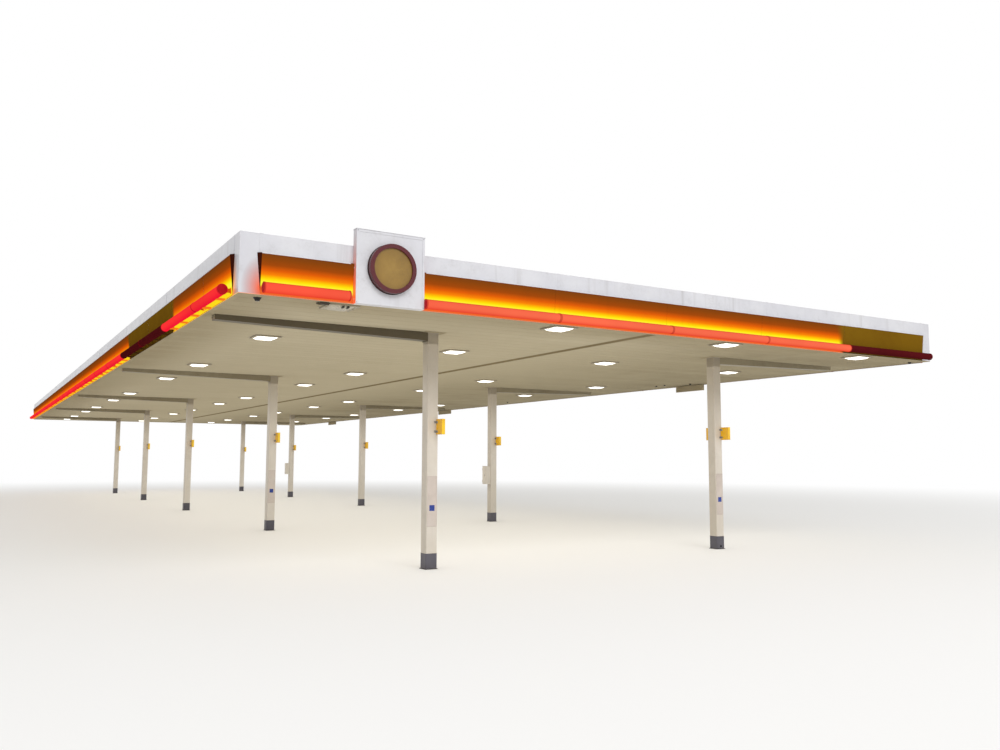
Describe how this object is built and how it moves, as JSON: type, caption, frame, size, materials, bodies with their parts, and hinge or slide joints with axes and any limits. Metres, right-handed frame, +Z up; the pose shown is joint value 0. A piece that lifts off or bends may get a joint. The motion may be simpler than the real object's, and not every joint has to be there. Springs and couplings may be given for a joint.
{
  "type": "filling station canopy, 1:2 scale model",
  "caption": "Flat steel filling station canopy at half size: square columns, ribbed pan deck with lights, lit leaning fascia with a red light bar, plain square sign board.",
  "frame": {"origin": "on the ground, under the middle of the outline", "axes": "+X along the front face to the right as seen from the front, +Y along the long side away from the front, +Z up"},
  "size_m": [8.9418, 25.3959, 2.922],
  "materials": {
    "column_paint": "satin cream paint on steel",
    "band_paint": "matte blue-grey paint",
    "trim_paint": "satin off-white paint",
    "beam_paint": "matte primer and paint",
    "galvanised": "galvanised, dull",
    "deck_paint": "semi-gloss cream baked paint",
    "white_sheet": "smooth white coated aluminium",
    "yellow_panel": "translucent yellow acrylic, lit",
    "red_bar": "translucent red acrylic, lit",
    "sign_disc": "red rim and amber face, plain",
    "light_housing": "white powder coat",
    "light_lens": "diffusing lens, lit",
    "dark_plastic": "smoked dome",
    "tag_paint": "yellow enamel, plain"
  },
  "bodies": {
    "root": {"columns_row_1": "column_paint", "columns_row_2": "column_paint", "columns_row_3": "column_paint", "columns_row_4": "column_paint", "columns_row_5": "column_paint", "base_bands": "band_paint", "column_collars": "trim_paint", "beams_row_1": "beam_paint", "beams_row_2": "beam_paint", "beams_row_3": "beam_paint", "beams_row_4": "beam_paint", "beams_row_5": "beam_paint", "joists": "galvanised", "deck_bay_1": "deck_paint", "deck_bay_2": "deck_paint", "deck_bay_3": "deck_paint", "deck_bay_4": "deck_paint", "deck_bay_5": "deck_paint", "deck_bay_6": "deck_paint", "center_gutter": "deck_paint", "fascia_frame_front": "galvanised", "fascia_frame_back": "galvanised", "fascia_frame_left": "galvanised", "fascia_frame_right": "galvanised", "soffit_trim": "trim_paint", "white_band_front": "white_sheet", "white_band_back": "white_sheet", "white_band_left": "white_sheet", "white_band_right": "white_sheet", "corner_posts": "white_sheet", "yellow_panel_front": "yellow_panel", "yellow_panel_back": "yellow_panel", "yellow_panel_left": "yellow_panel", "yellow_panel_right": "yellow_panel", "red_bar_front": "red_bar", "red_bar_back": "red_bar", "red_bar_left": "red_bar", "red_bar_right": "red_bar", "sign_board": "white_sheet", "sign_disc": "sign_disc", "light_housings": "light_housing", "light_lenses": "light_lens", "edge_domes": "dark_plastic", "hanging_boards": "trim_paint", "column_signs": "tag_paint", "column_cabinets": "column_paint"}
  },
  "joints": []
}
